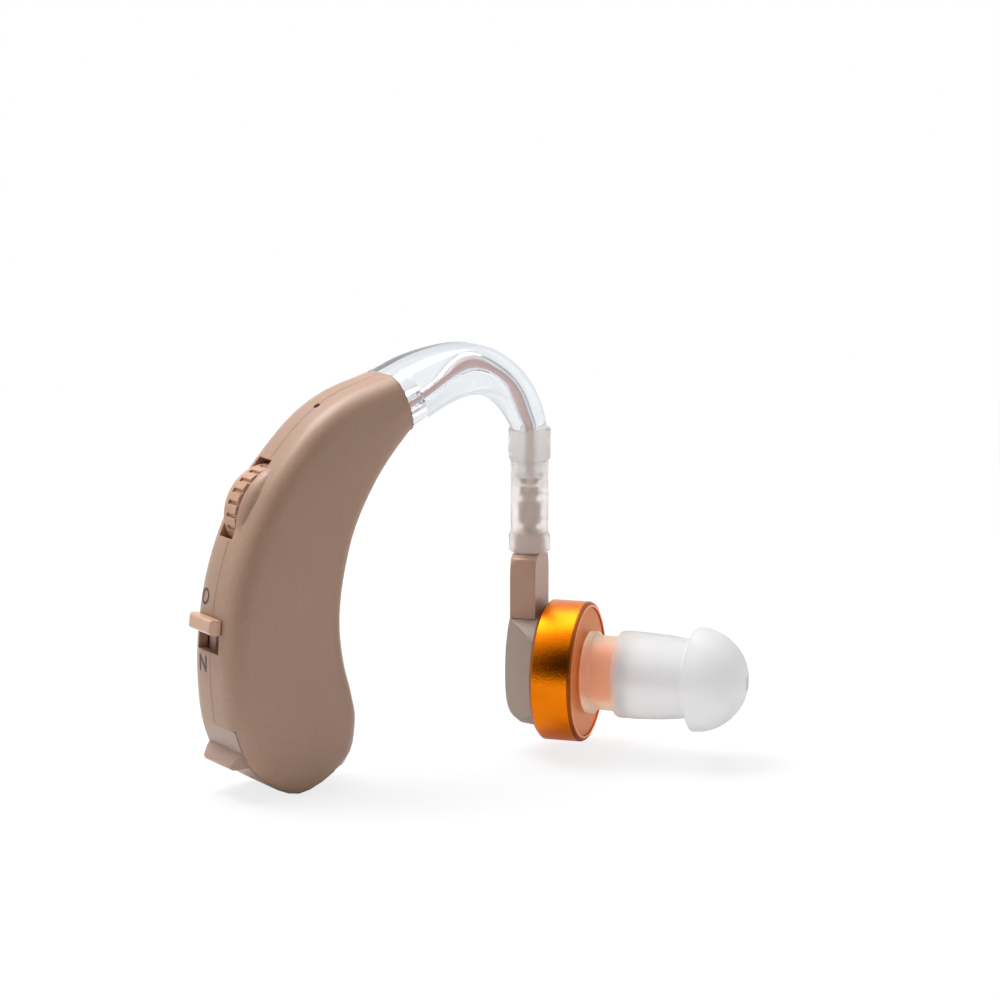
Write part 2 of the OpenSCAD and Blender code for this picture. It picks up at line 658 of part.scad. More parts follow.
// Rib that stands in the tongue's groove, on one side of the parting plane
module tongue_rib(side) at_seat() translate([-groove_start - groove_width + seat_gap, 0, 0])
    rotate([90, 0, 90]) linear_extrude(groove_width - 2 * seat_gap) intersection() {
        difference() {
            round_block(top_thick / 2 - shell_wall / 2, seat_depth / 2 - shell_wall / 2,
                edge_round - shell_wall / 2);
            round_block(tongue_half_thick - groove_depth + seat_gap, tongue_half_depth - groove_depth + seat_gap,
                tongue_corner);
        }
        translate([side < 0 ? -overrun : 0, -overrun / 2]) square(overrun);
    }

// Openings in the back for the wheel, the slider and sound, and the whole mouth of the door
module back_openings() {
    on_back(wheel_station)
        box(-2 * shell_wall, overrun, wheel_y - window_gap, wheel_y + wheel_width + window_gap,
            -window_half, window_half);
    on_back(switch_station) translate([0, switch_y, 0])
        box(-2 * shell_wall, overrun, -slot_width / 2, slot_width / 2, -slot_length / 2, slot_length / 2);
    on_back(mic_station) translate([-2 * shell_wall, 0, 0]) rotate([0, 90, 0])
        cylinder(d = mic_hole_dia, h = overrun);
    slab(-door_half - run_gap, door_half + run_gap) difference() {
        polygon(door_cut);
        translate(hinge_point) circle(knuckle_r);
    }
    slab(-hinge_half - run_gap, hinge_half + run_gap) polygon(door_cut);
    at_point(hinge_point) along_y(-hinge_half - run_gap)
        cylinder(r = knuckle_r + seat_gap, h = 2 * (hinge_half + run_gap));
    slab(-pocket_half - seat_gap, pocket_half + seat_gap) polygon(relief_outline);
}

// Ear for the hinge pin inside the side wall, and its blind hole
module hinge_ear() at_point(hinge_point + hinge_in * ear_shift) along_y(hinge_half + run_gap)
    cylinder(r = ear_r, h = hinge_bite - run_gap);
module hinge_hole() at_point(hinge_point) along_y(-hinge_half - hinge_bite - run_gap)
    cylinder(d = pin_dia + run_gap, h = 2 * (hinge_half + hinge_bite + run_gap));

// Lens-shaped guard beside the wheel, round the wheel's own axis
module wheel_guard() on_back(wheel_station) intersection() {
    translate([guard_proud - guard_r, 0, 0]) along_y() rotate_extrude($fn = 96) polygon(concat(
        [[0, wheel_y - window_gap], [guard_r - guard_edge, wheel_y - window_gap]],
        [[guard_r, wheel_y - window_gap - guard_edge], [guard_r, wheel_y - window_gap - guard_crest]],
        [for (s = guard_slope_shares)
            [guard_r - s[0] * guard_fall, wheel_y - window_gap - mix(guard_crest, guard_width, s[1])]],
        [[0, wheel_y - window_gap - guard_width]]
    ));
    box(-guard_sink, overrun, -overrun, overrun, -overrun, overrun);
}

function wall_middle(s) = half_thick(s) - side_crown - shell_wall / 2;

module right_shell() {
    color(skin_colour) difference() {
        union() {
            difference() {
                union() {
                    half_shell();
                    wheel_guard();
                }
                back_openings();
            }
            tongue_rib(-1);
            mirror([0, 1, 0]) hinge_ear();
            for (p = peg_places) at_point(rung(p[0], p[1])) {
                along_y(-wall_middle(p[0])) cylinder(r = peg_boss_r, h = wall_middle(p[0]) + board_y - run_gap);
                along_y(-wall_middle(p[0])) cylinder(r = peg_r, h = wall_middle(p[0]) + peg_end);
            }
        }
        hinge_hole();
    }
}

module left_shell() {
    color(skin_colour) difference() {
        union() {
            difference() {
                mirror([0, 1, 0]) half_shell();
                back_openings();
            }
            tongue_rib(1);
            hinge_ear();
            for (p = peg_places) at_point(rung(p[0], p[1])) along_y(seat_gap)
                difference() {
                    cylinder(r = peg_boss_r, h = wall_middle(p[0]) - seat_gap);
                    cylinder(r = peg_r + run_gap, h = peg_end);
                }
        }
        hinge_hole();
    }
}

// Hook, sleeve and lead
module ear_hook() {
    color(clear_colour) tube(hook_rings, channel_rings);
}

module receiver_lead() {
    color(lead_colour) cord(lead_route, lead_r, lead_corners);
}

module tube_sleeve() {
    head_r = sleeve_head_dia / 2;
    foot_r = sleeve_foot_dia / 2;
    waist_r = sleeve_dia / 2;
    grip_r = hook_end_dia / 2 + run_gap;
    barb_bore_r = nipple_barb_dia / 2 + run_gap;
    stem_bore = stem_barb_r + run_gap;
    foot_bore = stem_foot_r + run_gap;
    foot_step = stem_foot_z + 2 * seat_gap;
    color(sleeve_colour) translate([sleeve_x, 0, 0]) rotate_extrude() polygon([
        [grip_r + sleeve_edge, sleeve_top_z], [head_r - sleeve_edge, sleeve_top_z],
        [head_r, sleeve_top_z - sleeve_edge], [head_r, hook_foot_z + 3 * sleeve_edge],
        [waist_r, hook_foot_z], [waist_r, foot_step], [foot_r, foot_step - 3 * sleeve_edge],
        [foot_r, sleeve_foot_z + sleeve_edge], [foot_r - sleeve_edge, sleeve_foot_z],
        [foot_bore, sleeve_foot_z], [foot_bore, foot_step], [stem_bore, foot_step],
        [stem_bore, nipple_tip_z], [barb_bore_r, nipple_tip_z], [barb_bore_r, hook_foot_z],
        [grip_r, hook_foot_z], [grip_r, sleeve_top_z - 2 * sleeve_lap]
    ]);
}

// Board and what is soldered to it
module circuit_board() {
    color(board_colour) difference() {
        slab(board_y, board_top) polygon(concat(
            [for (s = [board_back_station:0.5:board_end_station]) rung(s, board_edge_share)],
            [for (s = [board_end_station:-0.5:board_front_station]) rung(s, 1 - board_edge_share)]
        ));
        for (p = peg_places) at_point(rung(p[0], p[1])) along_y(-overrun / 2)
            cylinder(r = peg_r + seat_gap, h = overrun);
        at_point(wheel_centre) along_y(-overrun / 2) cylinder(d = axle_dia + run_gap, h = overrun);
    }
}

module amplifier_chip() {
    color(black_colour) at_point(rung(chip_place[0], chip_place[1])) {
        box(-chip_side / 2, chip_side / 2, board_top, board_top + chip_thick, -chip_side / 2, chip_side / 2);
        for (side = [-1, 1], k = [-chip_pins:chip_pins])
            translate([side * chip_side / 2, 0, k * chip_pitch])
                box(-pin_reach, pin_reach, board_top, board_top + pin_reach / 2, -pin_reach / 2, pin_reach / 2);
    }
}

module capacitors() {
    color(gold_colour) for (p = capacitor_places) at_point(rung(p[0], p[1]))
        box(-capacitor_length / 2, capacitor_length / 2, board_top, board_top + capacitor_height,
            -capacitor_width / 2, capacitor_width / 2);
}

module microphone() {
    color(steel_colour) on_back(mic_station) translate([-boot_top - boot_wall, 0, 0]) rotate([0, -90, 0])
        difference() {
            cylinder(r = mic_r, h = mic_height);
            cylinder(d = mic_hole_dia, h = mic_height / 3);
        }
}

module microphone_boot() {
    color(black_colour) on_back(mic_station) translate([-boot_top, 0, 0]) rotate([0, -90, 0])
        difference() {
            cylinder(r = mic_r + boot_wall, h = mic_height + boot_wall);
            translate([0, 0, boot_wall]) cylinder(r = mic_r + run_gap / 2, h = overrun);
            cylinder(d = mic_hole_dia, h = overrun);
        }
}

// Volume control
module volume_base() {
    color(black_colour) at_point(wheel_centre) along_y(board_top) difference() {
        cylinder(r = base_r, h = base_thick);
        cylinder(d = axle_dia + run_gap, h = overrun);
    }
}

module volume_axle() {
    length = wheel_y + wheel_width + run_gap - board_y;
    color(steel_colour) at_point(wheel_centre) along_y(board_y) {
        cylinder(d = axle_dia, h = length + rivet_head_thick);
        translate([0, 0, length]) cylinder(r = rivet_head_r, h = rivet_head_thick);
    }
}

module volume_wiper() {
    color(gold_colour) at_point(wheel_centre) along_y(wheel_y - wiper_thick) difference() {
        cylinder(r = wiper_r, h = wiper_thick);
        cylinder(d = axle_dia + 2 * run_gap, h = overrun);
    }
}

// Ridged rim: flat tops between sloping grooves
function ridge_point(i, share, r) = let (a = 360 * (i + share) / ridge_count) [r * cos(a), r * sin(a)];
module volume_wheel() {
    color(skin_colour) at_point(wheel_centre) along_y(wheel_y) difference() {
        union() {
            linear_extrude(wheel_width - plain_rim) polygon([for (i = [0:ridge_count - 1]) each [
                ridge_point(i, groove_share / 4, wheel_r - ridge_depth),
                ridge_point(i, 3 * groove_share / 4, wheel_r - ridge_depth),
                ridge_point(i, groove_share, wheel_r),
                ridge_point(i, 1, wheel_r)
            ]]);
            translate([0, 0, wheel_width - plain_rim])
                cylinder(r = wheel_r - ridge_depth / 4, h = plain_rim, $fn = 96);
        }
        cylinder(d = axle_dia + 2 * run_gap, h = overrun);
    }
}

// Switch
module switch_body() {
    reach = slider_travel / 2 + slider_length / 2 + slider_gap;
    color(steel_colour) on_back(switch_station) translate([0, switch_y, 0]) difference() {
        box(-case_top - case_depth, -case_top, -slot_width / 2, slot_width / 2,
            -case_length / 2, case_length / 2);
        box(-case_top - case_depth + case_wall, overrun, -slider_half - slider_gap, slider_half + slider_gap,
            -reach, reach);
    }
}

module cap_outline() polygon([
    [cap_gap, -cap_length / 2], [cap_proud - cap_edge, -cap_length / 2],
    [cap_proud, cap_edge - cap_length / 2], [cap_proud, cap_length / 2 - cap_edge],
    [cap_proud - cap_edge, cap_length / 2], [cap_gap, cap_length / 2]
]);
module switch_knob() {
    color(slider_colour) on_back(switch_station) translate([0, switch_y, slider_rest]) {
        intersection() {
            slab(-cap_width / 2, cap_width / 2) cap_outline();
            translate([0, 0, -cap_length]) linear_extrude(2 * cap_length) polygon([
                [0, -cap_width / 2], [cap_proud - 2 * cap_edge, -cap_width / 2],
                [cap_proud, 2 * cap_edge - cap_width / 2], [cap_proud, cap_width / 2 - 2 * cap_edge],
                [cap_proud - 2 * cap_edge, cap_width / 2], [0, cap_width / 2]
            ]);
        }
        box(-case_top - case_depth / 2, cap_gap + cap_edge, -slider_half, slider_half,
            -slider_length / 2, slider_length / 2);
    }
}

module switch_bridge() {
    color(gold_colour) on_back(switch_station) translate([-case_top - case_depth / 2, switch_y, slider_rest])
        box(-bridge_thick, 0, -slider_half, slider_half, -slider_length / 2, slider_length / 2);
}

// Battery contacts: a leaf over the can and a strip beside the cap, each soldered to the board
module positive_contact() {
    board_foot_z = rung(board_end_station, 1 / 2)[1];
    leaf_r = cell_r + seat_gap;
    color(gold_colour) at_point([cell_centre[0], 0]) {
        translate([0, board_top, cell_centre[1]]) rotate([-90, 0, 0]) rotate(-90 - leaf_turn / 2)
            rotate_extrude(angle = leaf_turn) translate([leaf_r, 0]) square([contact_thick, contact_width]);
        box(-contact_width / 2, contact_width / 2, board_top, board_top + contact_thick,
            cell_centre[1] + leaf_r + contact_thick / 2, board_foot_z + contact_width / 2);
    }
}

module negative_contact() {
    board_foot_z = rung(board_end_station, 1 / 2)[1];
    strip_y = -cell_thick / 2 - seat_gap - contact_thick;
    bend_z = cell_centre[1] + cell_r + contact_width / 2;
    color(gold_colour) at_point([cell_centre[0], 0]) {
        box(-contact_width / 2, contact_width / 2, board_y - contact_thick, board_y, bend_z,
            board_foot_z + contact_width / 2);
        box(-contact_width / 2, contact_width / 2, strip_y, board_y, bend_z, bend_z + contact_thick);
        box(-contact_width / 2, contact_width / 2, strip_y, strip_y + contact_thick,
            cell_centre[1] + strip_end_share * cell_r, bend_z + contact_thick);
    }
}

// Battery door, its pin and the cell
module hinge_pin() {
    color(steel_colour) at_point(hinge_point) along_y(-hinge_half - hinge_bite)
        cylinder(d = pin_dia, h = 2 * (hinge_half + hinge_bite));
}

module finger_lip() on_back(lip_station) translate([-door_sink, 0, 0]) intersection() {
    slab(-lip_width / 2, lip_width / 2)
        polygon([for (s = lip_shares) [s[0] * lip_proud, s[1] * lip_length]]);
    translate([0, 0, -lip_length]) linear_extrude(2 * lip_length) polygon([
        [-lip_proud, -lip_width / 2], [lip_proud / 3, -lip_width / 2],
        [lip_proud, lip_chamfer - lip_width / 2], [lip_proud, lip_width / 2 - lip_chamfer],
        [lip_proud / 3, lip_width / 2], [-lip_proud, lip_width / 2]
    ]);
}

module battery_door() {
    color(skin_colour) difference() {
        union() {
            slab(-door_half, door_half) polygon(door_outline);
            at_point(hinge_point) along_y(-hinge_half) cylinder(r = knuckle_r, h = 2 * hinge_half);
            finger_lip();
        }
        at_point(cell_centre) along_y(-pocket_half) cylinder(r = pocket_r, h = 2 * pocket_half);
        at_point(hinge_point) along_y(-overrun / 2) cylinder(d = pin_dia + 2 * run_gap, h = overrun);
        for (side = [0, 1]) mirror([0, side, 0]) at_point(hinge_point) along_y(hinge_half)
            cylinder(r = knuckle_r + seat_gap, h = overrun);
    }
}

module cell_can() {
    color(steel_colour) at_point(cell_centre) along_y(-cell_thick / 2 + rim_step) difference() {
        cylinder(r = cell_r, h = cell_thick - rim_step);
        cylinder(r = cap_r + gasket_wall, h = cell_thick / 2);
    }
}

module cell_gasket() {
    color(black_colour) at_point(cell_centre) along_y(-cell_thick / 2 + rim_step) difference() {
        cylinder(r = cap_r + gasket_wall, h = cell_thick / 2);
        cylinder(r = cap_r, h = cell_thick / 2);
    }
}

module cell_cap() {
    color(steel_colour) at_point(cell_centre) along_y(-cell_thick / 2)
        cylinder(r = cap_r, h = cell_thick / 2 + rim_step);
}

// Receiver frames: on the sleeve's axis, and along the sound axis with Z forward
module in_receiver() translate([sleeve_x, 0, 0]) rotate([0, 0, -receiver_turn]) children();
module on_sound_axis() in_receiver() translate([0, 0, ring_centre_z]) rotate([0, 90, 0]) children();

// The neck is a square block turned round at its shoulder, with the stem that the sleeve grips
module receiver_neck() {
    color(skin_colour) in_receiver() {
        rotate_extrude() polygon([for (s = stem_shares) [s[0], stem_tip_z - s[1] * stem_length]]);
        difference() {
            intersection() {
                box(-neck_depth / 2, neck_depth / 2, -neck_width / 2, neck_width / 2, neck_foot_z, neck_top_z);
                rotate_extrude() polygon(concat(
                    [[0, neck_foot_z], [neck_corner_r, neck_foot_z]],
                    [for (i = [neck_blend_steps:-1:0]) let (a = 90 * i / neck_blend_steps)
                        [mix(neck_shoulder_r, neck_corner_r, sin(a)),
                            neck_top_z - neck_edge - neck_blend * (1 - cos(a))]],
                    [[neck_shoulder_r - neck_edge / 3, neck_top_z - neck_edge / 3],
                        [neck_shoulder_r - neck_edge, neck_top_z], [0, neck_top_z]]
                ));
            }
            translate([0, 0, lead_end_z - seat_gap]) cylinder(r = stem_bore_r, h = overrun);
        }
    }
}

// The cup flares from the neck's width at its back to the ring, inside a round outline
module receiver_cup() {
    flare = cup_depth * tan(cup_flare);
    color(taupe_colour) difference() {
        in_receiver() translate([cup_back_u, 0, ring_centre_z]) intersection() {
            rotate([0, 90, 0]) cylinder(r = cup_r, h = cup_depth, $fn = 96);
            slab(-cup_r, cup_r) polygon([for (s = cup_shares) [s[0] * cup_depth, s[1] * cup_r]]);
            translate([0, 0, -cup_r]) linear_extrude(2 * cup_r) polygon([
                [0, -cup_half_back], [cup_depth, -cup_half_back - flare],
                [cup_depth, cup_half_back + flare], [0, cup_half_back]
            ]);
        }
        on_sound_axis() translate([0, 0, cup_back_u + cup_floor])
            cylinder(r1 = cup_floor_r, r2 = cup_bore_r, h = cup_depth - cup_floor);
    }
}

module receiver_ring() {
    inner_r = ring_r - ring_wall;
    ledge_r = inner_r - ring_ledge;
    ledge_u = diaphragm_u - seat_gap;
    color(orange_colour) on_sound_axis() rotate_extrude($fn = 96) polygon([
        [inner_r, ring_back_u], [ring_r - ring_edge, ring_back_u], [ring_r, ring_back_u + ring_edge],
        [ring_r, face_u - ring_edge], [ring_r - ring_edge / 3, face_u - ring_edge / 3], [ring_r - ring_edge, face_u],
        [inner_r, face_u], [inner_r, ledge_u], [ledge_r, ledge_u], [ledge_r, ledge_u - 2 * diaphragm_cone],
        [inner_r, ledge_u - 2 * diaphragm_cone]
    ]);
}

module receiver_face() {
    color(copper_colour) on_sound_axis() translate([0, 0, face_u - plate_sink - plate_thick]) difference() {
        cylinder(r = ring_r - ring_wall - run_gap, h = plate_thick, $fn = 96);
        cylinder(r = nozzle_r + run_gap, h = overrun);
    }
}

module receiver_nozzle() {
    back_u = face_u - plate_sink - plate_thick;
    color(orange_colour) on_sound_axis() rotate_extrude() polygon(concat(
        [[nozzle_bore_r, back_u - nozzle_flange], [nozzle_flange_r, back_u - nozzle_flange],
            [nozzle_flange_r, back_u], [nozzle_r, back_u]],
        [for (s = nozzle_shares) [s[0], face_u + s[1] * nozzle_length]],
        [[nozzle_bore_r, face_u + nozzle_length]]
    ));
}

module sound_mesh() {
    color(steel_colour) on_sound_axis() translate([0, 0, face_u + nozzle_length - 4 * mesh_thick])
        cylinder(r = nozzle_bore_r - run_gap / 2, h = mesh_thick);
}

module driver_yoke() {
    color(steel_colour) on_sound_axis() translate([0, 0, yoke_u]) difference() {
        cylinder(r = driver_r, h = yoke_depth);
        translate([0, 0, yoke_wall]) difference() {
            cylinder(r = driver_r - yoke_wall, h = overrun);
            translate([0, 0, yoke_depth - 2 * yoke_wall]) difference() {
                cylinder(r = driver_r, h = yoke_wall);
                cylinder(r = coil_r + coil_wall, h = overrun);
            }
        }
    }
}

module driver_magnet() {
    color(black_colour) on_sound_axis() translate([0, 0, yoke_u + yoke_wall])
        cylinder(r = magnet_r, h = yoke_depth - yoke_wall);
}

module voice_coil() {
    color(copper_colour) on_sound_axis() translate([0, 0, yoke_u + yoke_depth - 2 * coil_wall]) difference() {
        cylinder(r = coil_r, h = diaphragm_u - yoke_u - yoke_depth + 2 * coil_wall);
        cylinder(r = coil_r - coil_wall, h = overrun);
    }
}

module diaphragm() {
    r = ring_r - ring_wall - run_gap;
    color(black_colour) on_sound_axis() rotate_extrude() polygon([
        [0, diaphragm_u], [coil_r + coil_wall, diaphragm_u], [(coil_r + r) / 2, diaphragm_u + diaphragm_cone],
        [r, diaphragm_u], [r, diaphragm_u + diaphragm_thick],
        [(coil_r + r) / 2, diaphragm_u + diaphragm_cone + diaphragm_thick],
        [coil_r + coil_wall, diaphragm_u + diaphragm_thick], [0, diaphragm_u + diaphragm_thick]
    ]);
}

module ear_tip() {
    color(silicone_colour) on_sound_axis() translate([0, 0, face_u]) rotate_extrude($fn = 96) polygon(tip_outline);
}

right_shell();
left_shell();
ear_hook();
receiver_lead();
tube_sleeve();
circuit_board();
amplifier_chip();
capacitors();
microphone();
microphone_boot();
volume_base();
volume_axle();
switch_body();
positive_contact();
negative_contact();
hinge_pin();
volume_wheel();
volume_wiper();
switch_knob();
switch_bridge();
battery_door();
cell_can();
cell_gasket();
cell_cap();
receiver_neck();
receiver_cup();
receiver_ring();
receiver_face();
receiver_nozzle();
driver_yoke();
driver_magnet();
voice_coil();
diaphragm();
sound_mesh();
ear_tip();
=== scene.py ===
# %% [markdown]
# # Behind the ear hearing aid
# A crescent housing sits behind the ear. A clear hook lies over the ear, and a soft sleeve joins it to a
# small round speaker with a domed silicone tip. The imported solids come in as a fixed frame, and this
# lesson gives them their light, their surfaces and the small pieces that the solids leave out.

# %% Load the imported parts
import math

import bpy
import numpy as np
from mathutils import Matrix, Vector


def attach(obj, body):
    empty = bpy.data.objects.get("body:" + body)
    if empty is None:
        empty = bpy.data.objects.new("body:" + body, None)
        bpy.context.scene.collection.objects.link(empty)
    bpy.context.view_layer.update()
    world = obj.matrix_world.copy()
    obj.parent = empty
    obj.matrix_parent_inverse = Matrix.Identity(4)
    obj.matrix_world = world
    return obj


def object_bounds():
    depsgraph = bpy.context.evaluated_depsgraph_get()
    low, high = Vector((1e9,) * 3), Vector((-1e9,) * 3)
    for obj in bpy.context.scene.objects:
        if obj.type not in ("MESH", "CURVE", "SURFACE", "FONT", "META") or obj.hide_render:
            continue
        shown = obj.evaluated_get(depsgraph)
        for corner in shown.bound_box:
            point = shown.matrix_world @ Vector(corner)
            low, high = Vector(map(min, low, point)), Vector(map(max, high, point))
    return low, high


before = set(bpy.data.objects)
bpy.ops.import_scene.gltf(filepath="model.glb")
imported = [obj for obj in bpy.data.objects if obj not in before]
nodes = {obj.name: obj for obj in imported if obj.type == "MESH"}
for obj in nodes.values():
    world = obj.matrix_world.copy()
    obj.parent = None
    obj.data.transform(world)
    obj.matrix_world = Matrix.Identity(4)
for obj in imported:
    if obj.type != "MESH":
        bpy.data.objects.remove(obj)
solids_box = [list(corner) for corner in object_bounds()]
MM = 0.001
print("packed pieces:", len(nodes))

# %% [markdown]
# ## Camera
# The photograph is taken from behind the housing's near side, slightly from above, through a long lens, so
# that near and far parts look almost equally large. A camera could be aimed by eye. Here two angles give a
# unit vector, and the camera stands along it at a set distance, so the view can be checked and repeated.

# %% Camera
AZIMUTH = math.radians(-32)
ELEVATION = math.radians(11)
DISTANCE = 0.42
LOOK_AT = Vector((0.74, -3.1, -11.24)) * MM
towards_camera = Vector((
    math.sin(AZIMUTH) * math.cos(ELEVATION),
    -math.cos(AZIMUTH) * math.cos(ELEVATION),
    math.sin(ELEVATION),
))
camera = bpy.data.objects.new("camera", bpy.data.cameras.new("camera"))
bpy.context.scene.collection.objects.link(camera)
camera.location = LOOK_AT + towards_camera * DISTANCE
camera.rotation_mode = "QUATERNION"
camera.rotation_quaternion = (-towards_camera).to_track_quat("-Z", "Y")
camera.data.sensor_width = 36
camera.data.lens = 141.3
camera.data.clip_start = 0.01
camera.data.clip_end = 10
bpy.context.scene.camera = camera
print("camera at", [round(v, 4) for v in camera.location])

# %% [markdown]
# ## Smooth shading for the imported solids
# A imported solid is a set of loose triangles. Welding them, and splitting them again only where two faces
# meet at a clear angle, gives round surfaces an even sheen and keeps real edges crisp. Modifiers do this,
# so the triangles' corners stay where the solids put them.

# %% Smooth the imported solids
WELD_GAP = 1e-6
EDGE_ANGLE = math.radians(32)


def smooth(piece):
    """Averages the normals of all faces that meet at less than the edge angle."""
    for layer in ("custom_normal", "sharp_edge", "sharp_face"):
        if layer in piece.data.attributes:
            piece.data.attributes.remove(piece.data.attributes[layer])
    piece.data.polygons.foreach_set("use_smooth", np.ones(len(piece.data.polygons), bool))
    weld = piece.modifiers.new("weld", "WELD")
    weld.merge_threshold = WELD_GAP
    split = piece.modifiers.new("edges", "EDGE_SPLIT")
    split.split_angle = EDGE_ANGLE


for piece in nodes.values():
    smooth(piece)
print("smoothed:", len(nodes))

# %% [markdown]
# ## Effects that several finishes share
# Moulded plastic has a fine spark-eroded grain, a slow drift of tone and tiny darker specks. Each material
# could hold its own copy of these nodes. As node groups they are built once, and every finish only sets its
# own scale and strength.

# %% Helpers for nodes
def new_group(name, inputs, outputs):
    """Makes a shader node group with named sockets: (name, type, default) each."""
    group = bpy.data.node_groups.new(name, "ShaderNodeTree")
    for label, kind, default in inputs:
        socket = group.interface.new_socket(name=label, in_out="INPUT", socket_type="NodeSocket" + kind)
        if default is not None:
            socket.default_value = default
    for label, kind in outputs:
        group.interface.new_socket(name=label, in_out="OUTPUT", socket_type="NodeSocket" + kind)
    return group, group.nodes.new("NodeGroupInput"), group.nodes.new("NodeGroupOutput")


def add_node(tree, kind, values=None, **settings):
    """Adds a node, sets its properties, and sets its unlinked sockets by name or number."""
    node = tree.nodes.new("ShaderNode" + kind)
    for key, value in settings.items():
        setattr(node, key, value)
    for key, value in (values or {}).items():
        node.inputs[key].default_value = value
    return node


def object_place(tree):
    """The place on the piece, in metres, from its own origin."""
    return add_node(tree, "TexCoord").outputs["Object"]


print("helpers for nodes are ready")

# %% Grain: fine noise makes a height, and broad noise a small change of roughness
grain, grain_in, grain_out = new_group(
    "moulded_grain",
    [("Scale", "Float", 9000.0), ("Roughness", "Float", 0.4), ("Roughness Change", "Float", 0.08)],
    [("Height", "Float"), ("Roughness", "Float")],
)
place = object_place(grain)
fine = add_node(grain, "TexNoise", {"Detail": 3.0, "Roughness": 0.6})
grain.links.new(place, fine.inputs["Vector"])
grain.links.new(grain_in.outputs["Scale"], fine.inputs["Scale"])
broad = add_node(grain, "TexNoise", {"Scale": 260.0, "Detail": 2.0})
grain.links.new(place, broad.inputs["Vector"])
centred = add_node(grain, "Math", {1: 0.5}, operation="SUBTRACT")
grain.links.new(broad.outputs[0], centred.inputs[0])
change = add_node(grain, "Math", operation="MULTIPLY")
grain.links.new(centred.outputs[0], change.inputs[0])
grain.links.new(grain_in.outputs["Roughness Change"], change.inputs[1])
total = add_node(grain, "Math", operation="ADD")
grain.links.new(change.outputs[0], total.inputs[0])
grain.links.new(grain_in.outputs["Roughness"], total.inputs[1])
grain.links.new(fine.outputs[0], grain_out.inputs["Height"])
grain.links.new(total.outputs[0], grain_out.inputs["Roughness"])

print("group:", grain.name)

# %% Tone: a colour that drifts slowly between two near neighbours, with fine specks
MIX_A, MIX_B, MIX_RESULT = 6, 7, 2  # the colour sockets of a Mix node, by number
SPECK_COLOUR = (0.05, 0.035, 0.03, 1)
tone, tone_in, tone_out = new_group(
    "tone_drift",
    [("Colour", "Color", (0.5, 0.5, 0.5, 1)), ("Other Colour", "Color", (0.5, 0.5, 0.5, 1)),
     ("Scale", "Float", 120.0), ("Specks", "Float", 0.0)],
    [("Colour", "Color")],
)
place = object_place(tone)
drift = add_node(tone, "TexNoise", {"Detail": 2.0})
tone.links.new(place, drift.inputs["Vector"])
tone.links.new(tone_in.outputs["Scale"], drift.inputs["Scale"])
blend_tones = add_node(tone, "Mix", data_type="RGBA")
tone.links.new(drift.outputs[0], blend_tones.inputs["Factor"])
tone.links.new(tone_in.outputs["Colour"], blend_tones.inputs[MIX_A])
tone.links.new(tone_in.outputs["Other Colour"], blend_tones.inputs[MIX_B])
speck = add_node(tone, "TexNoise", {"Scale": 7500.0, "Detail": 1.0})
tone.links.new(place, speck.inputs["Vector"])
sparse = add_node(tone, "MapRange", {"From Min": 0.42, "From Max": 0.68})
tone.links.new(speck.outputs[0], sparse.inputs["Value"])
speck_size = add_node(tone, "Math", operation="MULTIPLY")
tone.links.new(sparse.outputs[0], speck_size.inputs[0])
tone.links.new(tone_in.outputs["Specks"], speck_size.inputs[1])
darken = add_node(tone, "Mix", {MIX_B: SPECK_COLOUR}, data_type="RGBA")
tone.links.new(speck_size.outputs[0], darken.inputs["Factor"])
tone.links.new(blend_tones.outputs[MIX_RESULT], darken.inputs[MIX_A])
tone.links.new(darken.outputs[MIX_RESULT], tone_out.inputs["Colour"])
print("node groups:", [g.name for g in bpy.data.node_groups])

# %% [markdown]
# ## Finishes
# Every finish is a Principled BSDF fed by the two groups. Constants sit on the shader's own sockets, so
# that an exported model keeps them. Colours are written as the eye reads them, 0 to 255, and turned into
# the light values that shaders use.

# %% Finish helper
def light_value(colour):
    """Turns a display colour, 0 to 255 each, into linear light: the standard display curve."""
    share = np.array(colour, float) / 255
    linear = np.where(share <= 0.04045, share / 12.92, ((share + 0.055) / 1.055) ** 2.4)
    return (*linear, 1.0)


